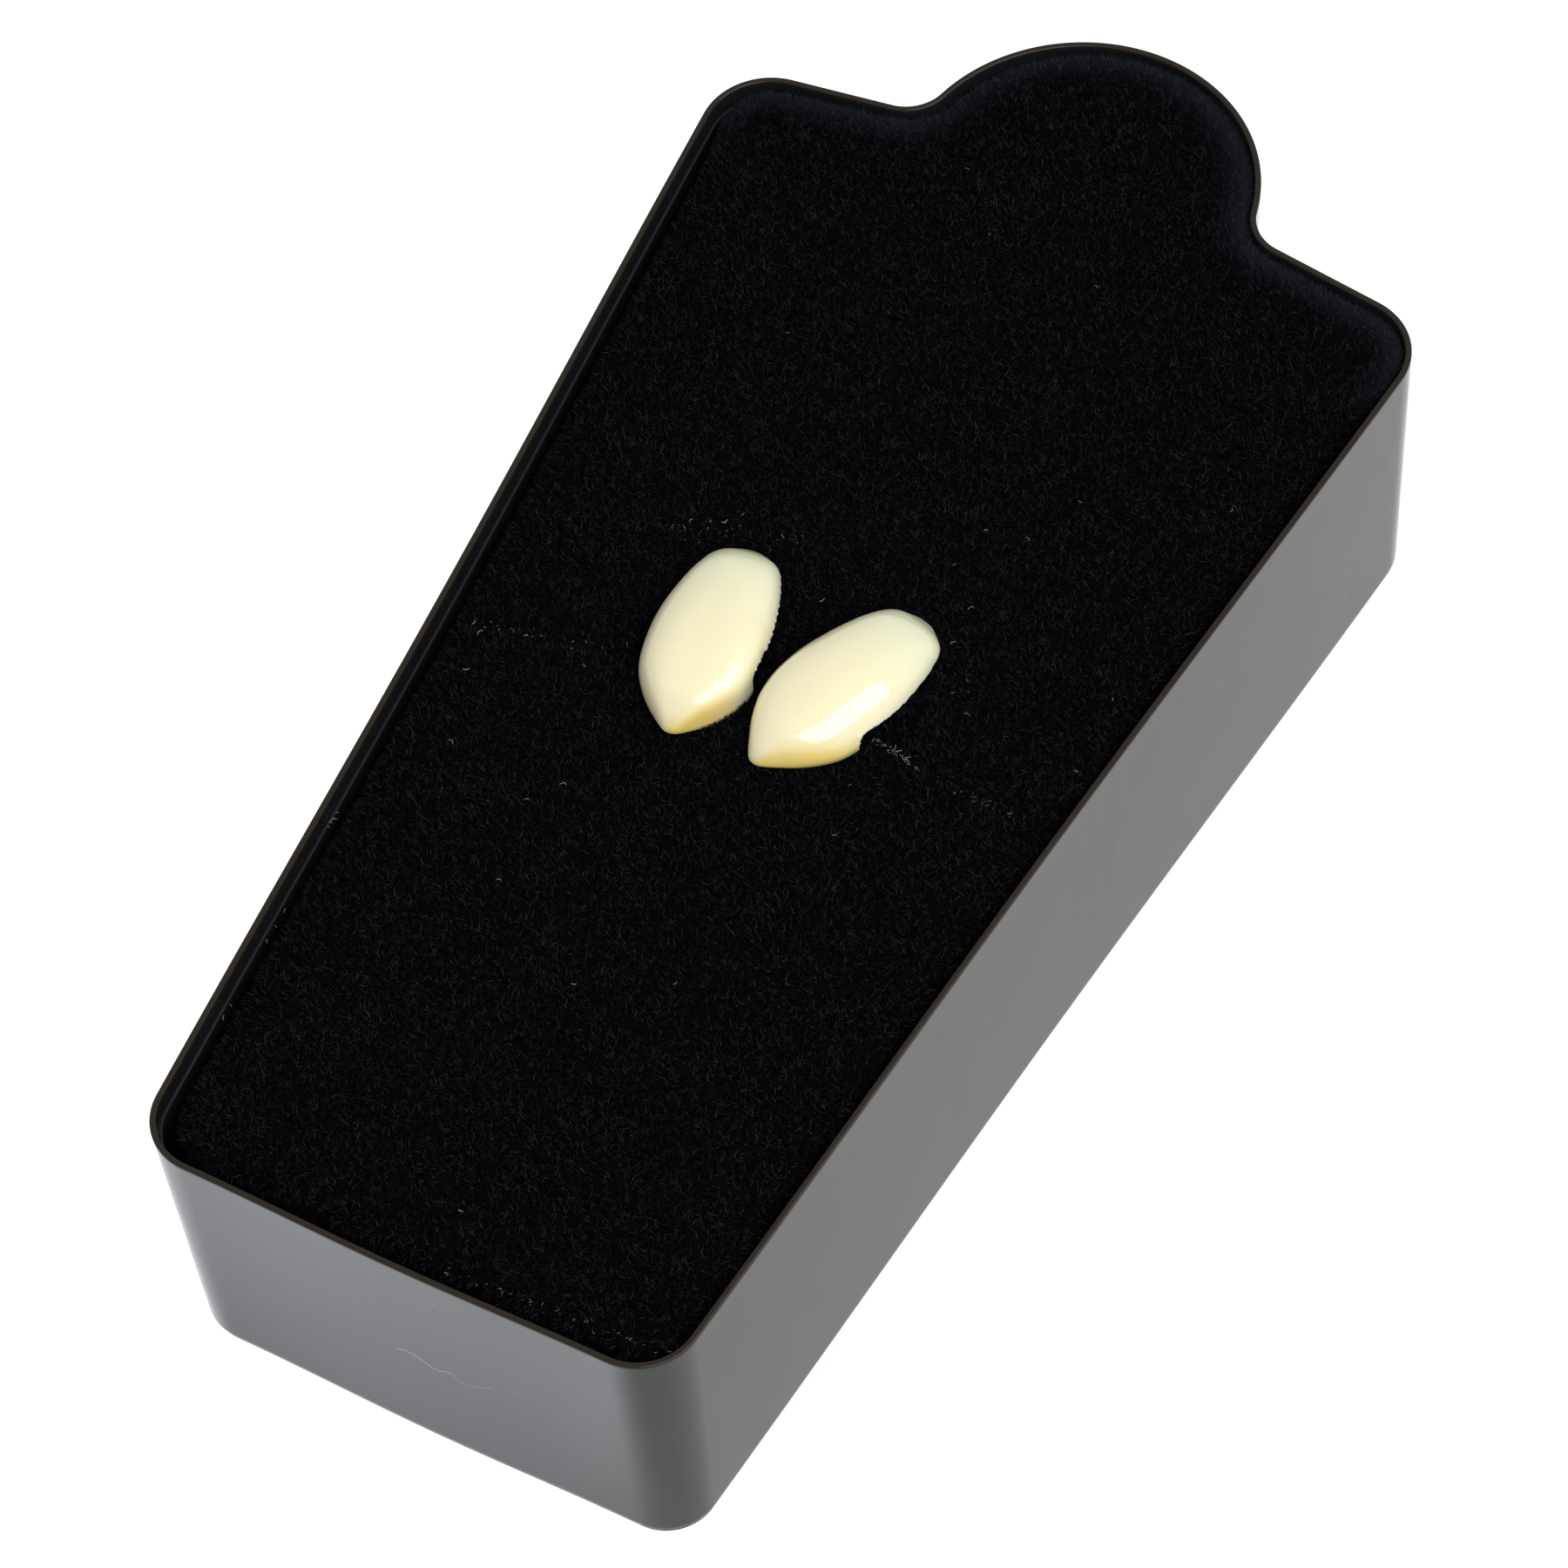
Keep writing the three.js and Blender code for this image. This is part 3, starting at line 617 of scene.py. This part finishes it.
# The top is not quite flat, and it dips along the slit.
points = vertices(foam)
chance = np.random.default_rng(11)
swell = np.zeros(len(points))
for _ in range(7):
    heading, wavelength, phase = chance.uniform(0, 2 * math.pi), chance.uniform(9, 30), chance.uniform(0, 2 * math.pi)
    run = points[:, 0] * math.cos(heading) + points[:, 1] * math.sin(heading)
    swell += np.cos(2 * math.pi * run / wavelength + phase) * wavelength / 30
near_slit = np.exp(-(((points[:, 1] - slit_y(points[:, 0])) / 0.8) ** 2))
near_slit *= np.clip((SLIT_LENGTH / 2 - np.abs(points[:, 0])) / 1.5, 0, 1)
near_top = np.clip((points[:, 2] - 24.5) / 1.5, 0, 1)
points[:, 2] += near_top * (SWELL * swell - SETTLING - SLIT_DIP * near_slit)

# Pressed against the tray at the head, it stops just short of the ledge and, higher up, of the lip.
pressed = np.flatnonzero((points[:, 1] > HEAD_FROM - HEAD_MARGIN) & (points[:, 2] > ledge - 2))
closest = np.linalg.norm(points[pressed, None, :2] - rim[None, :, :2], axis=2).argmin(axis=1)
outward = rim[closest, 2:]
inset = ((rim[closest, :2] - points[pressed, :2]) * outward).sum(axis=1)
heights = points[pressed, 2]
wall_there = np.interp(heights, [ledge + 0.4, ledge + 0.9], [LEDGE_WALL, LIP_WALL])
least_inset = wall_there + draft(heights) + LIP_GAP
points[pressed, :2] -= np.maximum(least_inset - inset, 0)[:, None] * outward
foam.data.vertices.foreach_set("co", (points / 1000).ravel())

# Round the head the rolled edge gets a painted sheen: its colour is made paler there.
far = np.full(len(points), 9.0)
at_head = points[:, 1] > HEAD_FROM
head_rim = rim[rim[:, 1] > HEAD_FROM - HEAD_MARGIN, :2]
far[at_head] = np.linalg.norm(points[at_head, None, :2] - head_rim[None], axis=2).min(axis=1)
painted_sheen = np.exp(-((far / PAINTED_SHEEN_REACH) ** 2)) * np.clip((points[:, 1] - HEAD_FROM) / HEAD_RAMP, 0, 1)

# Where fibres stand: on the top and its rolled edge, but not under the two cups.
flock_share = np.clip((points[:, 2] - 24.3) / 0.6, 0, 1)
for spot in FANG_PLACES.values():
    own = in_cap(points, *spot)
    along = 1 - (own[:, 1] + TIP_REACH) / FANG_LENGTH
    half = FANG_WIDTH / 2 * np.array([section(a)[1] if 0 <= a <= 1 else 0 for a in along])
    flock_share[(np.abs(own[:, 0]) < 0.96 * half) & (own[:, 1] < MOUTH_BACK)] = 0
store(foam, "pale", painted_sheen)
bare = foam.data.copy()

slit_run = np.linspace(-SLIT_LENGTH / 2, SLIT_LENGTH / 2, 25)
corners = [(-KNIFE / 2, -SLIT_DEPTH), (KNIFE / 2, -SLIT_DEPTH), (KNIFE / 2, 5), (-KNIFE / 2, 5)]
knife = loft("knife", [
    np.array([(x, slit_y(x) + across, INSERT_TOP + up_down) for across, up_down in corners]) for x in slit_run
])
pockets = []
for name, spot in FANG_PLACES.items():
    pocket = loft("pocket", [in_tray(p, *spot) for p in fang_rings(HAND_WORK[name], POCKET_GROW, 0, 1, 40, 40)])
    margin = loft("margin", [in_tray(p, *spot) for p in margin_rings(POCKET_GROW)])
    pockets.append(cut(pocket, margin))
cut(foam, knife, *pockets)

# Black rayon flock on foam, electrostatically applied: nearly no light comes back, but for a faint bluish bloom where
# the nap is seen from the side, and a painted sheen, a paler colour, on the rolled edge round the head.
flock, tree, surface = material("black_rayon_flock", {
    "Base Color": linear("#08080b"),
    "Roughness": 1.0,
    "Specular IOR Level": 0.05,
    "Sheen Weight": 0.035,
    "Sheen Roughness": 0.35,
    "Sheen Tint": linear("#d8dcf0"),
})
shade = node(tree, "ShaderNodeAttribute", attribute_name="shade").outputs["Fac"]
sparse = node(tree, "ShaderNodeMath", {1: 8}, {0: shade}, operation="POWER").outputs[0]
tint = node(tree, "ShaderNodeMix", {6: linear("#020203"), 7: linear("#34343b")}, {0: sparse}, data_type="RGBA")
# Painted sheen: the colour is made paler on the rolled edge round the head.
pale = node(tree, "ShaderNodeAttribute", attribute_name="pale").outputs["Fac"]
painted_sheen_share = node(tree, "ShaderNodeMath", {1: 0.5}, {0: pale}, operation="MULTIPLY").outputs[0]
with_painted_sheen = node(tree, "ShaderNodeMix", {7: linear("#3c3e48")}, {0: painted_sheen_share, 6: tint.outputs[2]}, data_type="RGBA").outputs[2]
tree.links.new(with_painted_sheen, surface.inputs["Base Color"])
foam.data.materials.clear()
foam.data.materials.append(flock)
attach(foam, "root")
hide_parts("flocked_insert")

# Flock fibres
# Short black rayon fibres stand all over the top of the foam, leaning every way. They soften the edge of the foam
# and lap over the rims of the cups.
FIBRE_LENGTH, FIBRE_WIDTH, FIBRE_TILT = 0.00055, 0.00008, 0.9
FIBRES_PER_MM2 = 26

nap = bpy.data.node_groups.new("flock_nap", "GeometryNodeTree")
for name, kind in (
    ("Surface", "NodeSocketGeometry"),
    ("Density", "NodeSocketFloat"),
    ("Seed", "NodeSocketInt"),
    ("Length", "NodeSocketFloat"),
    ("Width", "NodeSocketFloat"),
    ("Tilt", "NodeSocketFloat"),
    ("Material", "NodeSocketMaterial"),
):
    nap.interface.new_socket(name, in_out="INPUT", socket_type=kind)
nap.interface.new_socket("Fibres", in_out="OUTPUT", socket_type="NodeSocketGeometry")
given = node(nap, "NodeGroupInput").outputs
share = node(nap, "GeometryNodeInputNamedAttribute", {"Name": "flock"}, data_type="FLOAT").outputs["Attribute"]
density = node(nap, "ShaderNodeMath", links={0: given["Density"], 1: share}, operation="MULTIPLY").outputs[0]
spots = node(
    nap,
    "GeometryNodeDistributePointsOnFaces",
    links={"Mesh": given["Surface"], "Density": density, "Seed": given["Seed"]},
)
triangle = node(nap, "GeometryNodeMeshCircle", {"Vertices": 3, "Radius": 1.0}, fill_type="NGON").outputs[0]
blade = node(
    nap,
    "GeometryNodeTransform",
    {"Scale": (2 / 3, 0.577, 1), "Rotation": (0, -math.pi / 2, 0), "Translation": (0, 0, 1 / 3)},
    {"Geometry": triangle},
).outputs[0]
lengths = node(nap, "FunctionNodeRandomValue", {2: 0.6, 3: 1.2}, {"Seed": given["Seed"]}, data_type="FLOAT").outputs[1]
long = node(nap, "ShaderNodeMath", links={0: given["Length"], 1: lengths}, operation="MULTIPLY").outputs[0]
size = node(nap, "ShaderNodeCombineXYZ", links={0: given["Width"], 1: given["Width"], 2: long}).outputs[0]
least = node(nap, "ShaderNodeMath", {1: -1}, {0: given["Tilt"]}, operation="MULTIPLY").outputs[0]
lean_least = node(nap, "ShaderNodeCombineXYZ", links={0: least, 1: least}).outputs[0]
lean_most = node(nap, "ShaderNodeCombineXYZ", {2: 2 * math.pi}, {0: given["Tilt"], 1: given["Tilt"]}).outputs[0]
lean = node(
    nap, "FunctionNodeRandomValue", links={0: lean_least, 1: lean_most, "Seed": given["Seed"]}, data_type="FLOAT_VECTOR"
).outputs[0]
turned = node(
    nap,
    "FunctionNodeRotateRotation",
    links={0: spots.outputs["Rotation"], 1: node(nap, "FunctionNodeEulerToRotation", links={0: lean}).outputs[0]},
    rotation_space="LOCAL",
).outputs[0]
stand = node(
    nap,
    "GeometryNodeInstanceOnPoints",
    links={"Points": spots.outputs["Points"], "Instance": blade, "Rotation": turned, "Scale": size},
).outputs[0]
shades = node(nap, "FunctionNodeRandomValue", {2: 0, 3: 1}, {"Seed": given["Seed"]}, data_type="FLOAT").outputs[1]
marked = node(
    nap,
    "GeometryNodeStoreNamedAttribute",
    {"Name": "shade"},
    {"Geometry": stand, "Value": shades},
    data_type="FLOAT",
    domain="INSTANCE",
).outputs[0]
real = node(nap, "GeometryNodeRealizeInstances", links={"Geometry": marked}).outputs[0]
coated = node(nap, "GeometryNodeSetMaterial", links={"Geometry": real, "Material": given["Material"]}).outputs[0]
node(nap, "NodeGroupOutput", links={"Fibres": coated})


def grown(name, mesh, tree, values):
    """A piece made by a node tree on a mesh, as a plain mesh."""
    made = bpy.data.objects.new(name, mesh)
    scene.collection.objects.link(made)
    step = made.modifiers.new("grow", "NODES")
    step.node_group = tree
    for item in tree.interface.items_tree:
        if item.name in values:
            step[item.identifier] = values[item.name]
    return baked(made)


holder = bpy.data.objects.new("bare", bare)
store(holder, "flock", flock_share)
for k in range(3):
    fibres = grown(f"flock_fibres_{k + 1}", bare.copy(), nap, {
        "Density": FIBRES_PER_MM2 * 1e6,
        "Seed": 5 + k,
        "Length": FIBRE_LENGTH,
        "Width": FIBRE_WIDTH,
        "Tilt": FIBRE_TILT,
        "Material": flock,
    })
    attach(fibres, "root")
bpy.data.objects.remove(holder)

# Lint
# Bits of grey cotton lint and torn foam dust cling to the flock, most of all along the two open ends of the slit and
# by the foot. Each is a short bent fibre.
LINT_THICKNESS = 0.05
# Places on the foam in millimetres, with a length for each.
LINT = [
    (-21.0, -14.4, 0.5), (11.9, -6.6, 0.55), (12.7, -6.8, 0.5), (11.4, -6.5, 0.4), (-10.0, 6.2, 0.45),
    (10.7, 7.2, 0.45),
    (-9.2, -20.3, 0.45), (0.2, 3.0, 0.4), (11.0, 3.8, 0.4), (8.4, 14.1, 0.4), (-18.7, -20.7, 0.4), (-5.3, 6.9, 0.35),
    (21.8, -7.9, 0.4), (24.0, 4.5, 0.35), (-12.3, 5.1, 0.35), (-21.7, -11.1, 0.5), (-9.3, -29.8, 0.35),
    (-9.1, 7.4, 0.3), (-11.0, 5.7, 0.3), (24.5, -2.5, 0.3), (14.9, -1.5, 0.35), (13.6, 19.7, 0.35), (13.0, -0.2, 0.3),
    (11.1, -15.4, 0.35), (13.5, 1.3, 0.3), (-11.0, -22.7, 0.35), (-12.5, 4.4, 0.3), (-18.4, -9.8, 0.35),
    (-22.6, -10.5, 0.4), (24.3, 24.0, 0.3), (-13.1, -10.2, 0.3), (-13.3, 4.0, 0.3), (7.7, 10.3, 0.3),
    (10.0, -10.9, 0.3),
    (2.2, -55.2, 0.55), (11.6, 14.8, 0.4), (0.1, -35.1, 0.4), (6.7, -31.8, 0.35), (5.4, 38.8, 0.35), (-9.2, 44.8, 0.35),
    (-4.6, 39.7, 0.35), (-14.3, 24.3, 0.3),
]
# The same on the ledge inside the left wall.
LEDGE_LINT = [
    (-23.7, -30.0, 0.4), (-23.6, -29.7, 0.35), (-23.75, -30.3, 0.3), (-23.65, -30.6, 0.25), (-23.7, -29.3, 0.25),
    (-22.05, -48.4, 0.35), (-22.6, -41.3, 0.35), (-22.7, -39.9, 0.3), (-22.15, -47.3, 0.3), (-22.8, -38.4, 0.3),
]
# Runs of fuzz: from and to, how many, how far to each side, and the longest.
FUZZ = [
    ((9.7, -6.4), (14.1, -7.4), 36, 0.22, 0.34),
    ((14.1, -7.4), (22.6, -8.2), 26, 0.4, 0.2),
    ((-22.5, -10.3), (-10.2, -7.3), 22, 0.6, 0.25),
    ((3.0, -60.0), (22.0, -58.5), 46, 0.35, 0.28),
    ((-14.0, 3.5), (-4.0, 7.5), 34, 1.3, 0.22),
]

chance = np.random.default_rng(3)
places = [(x, y, INSERT_TOP + 0.3) for x, y, _ in LINT] + [(x, y, ledge + 0.05) for x, y, _ in LEDGE_LINT]
lengths = [length for _, _, length in LINT + LEDGE_LINT]
for start, end, count, side, longest in FUZZ:
    for share in chance.uniform(0, 1, count):
        x, y = np.array(start) + share * (np.array(end) - start) + chance.normal(0, side / 2, 2)
        places.append((x, y, INSERT_TOP + chance.uniform(0.0, 0.35)))
        lengths.append(longest * chance.uniform(0.35, 1))

cotton, _, _ = material("grey_cotton_lint", {
    "Base Color": linear("#8f9097"),
    "Roughness": 1.0,
    "Specular IOR Level": 0.1,
})

tuft = bpy.data.node_groups.new("bent_fibres", "GeometryNodeTree")
for name, kind in (
    ("Places", "NodeSocketGeometry"),
    ("Thickness", "NodeSocketFloat"),
    ("Waviness", "NodeSocketFloat"),
    ("Seed", "NodeSocketInt"),
    ("Material", "NodeSocketMaterial"),
):
    tuft.interface.new_socket(name, in_out="INPUT", socket_type=kind)
tuft.interface.new_socket("Fibres", in_out="OUTPUT", socket_type="NodeSocketGeometry")
given = node(tuft, "NodeGroupInput").outputs
bend = {"Resolution": 5, "Start": (-0.5, 0, 0), "Middle": (0.1, 0.5, 0.35), "End": (0.5, 0, 0)}
spine = node(tuft, "GeometryNodeCurveQuadraticBezier", bend).outputs[0]
ringlet = node(tuft, "GeometryNodeCurvePrimitiveCircle", {"Resolution": 4}, {"Radius": given["Thickness"]}).outputs[0]
strand = node(
    tuft, "GeometryNodeCurveToMesh", {"Fill Caps": True}, {"Curve": spine, "Profile Curve": ringlet}
).outputs[0]
length = node(tuft, "GeometryNodeInputNamedAttribute", {"Name": "length"}, data_type="FLOAT").outputs["Attribute"]
turn = node(
    tuft,
    "FunctionNodeRandomValue",
    {0: (-0.5, -0.5, 0), 1: (0.5, 0.5, 2 * math.pi)},
    {"Seed": given["Seed"]},
    data_type="FLOAT_VECTOR",
).outputs[0]
laid = node(
    tuft,
    "GeometryNodeInstanceOnPoints",
    links={
        "Points": given["Places"],
        "Instance": strand,
        "Rotation": node(tuft, "FunctionNodeEulerToRotation", links={0: turn}).outputs[0],
        "Scale": length,
    },
).outputs[0]
real = node(tuft, "GeometryNodeRealizeInstances", links={"Geometry": laid}).outputs[0]
wander = node(tuft, "ShaderNodeTexNoise", {"Scale": 2500.0}).outputs["Color"]
centred = node(tuft, "ShaderNodeVectorMath", {1: (0.5, 0.5, 0.5)}, {0: wander}, operation="SUBTRACT").outputs[0]
shift = node(tuft, "ShaderNodeVectorMath", links={0: centred, "Scale": given["Waviness"]}, operation="SCALE").outputs[0]
wavy = node(tuft, "GeometryNodeSetPosition", links={"Geometry": real, "Offset": shift}).outputs[0]
coated = node(tuft, "GeometryNodeSetMaterial", links={"Geometry": wavy, "Material": given["Material"]}).outputs[0]
node(tuft, "NodeGroupOutput", links={"Fibres": coated})

seeds = bpy.data.meshes.new("lint_places")
seeds.from_pydata((np.array(places) / 1000).tolist(), [], [])
seeds.attributes.new("length", "FLOAT", "POINT").data.foreach_set("value", np.array(lengths, np.float32) / 1000)
lint = grown("lint", seeds, tuft, {
    "Thickness": LINT_THICKNESS,
    "Waviness": 0.0002,
    "Seed": 8,
    "Material": cotton,
})
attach(lint, "root")
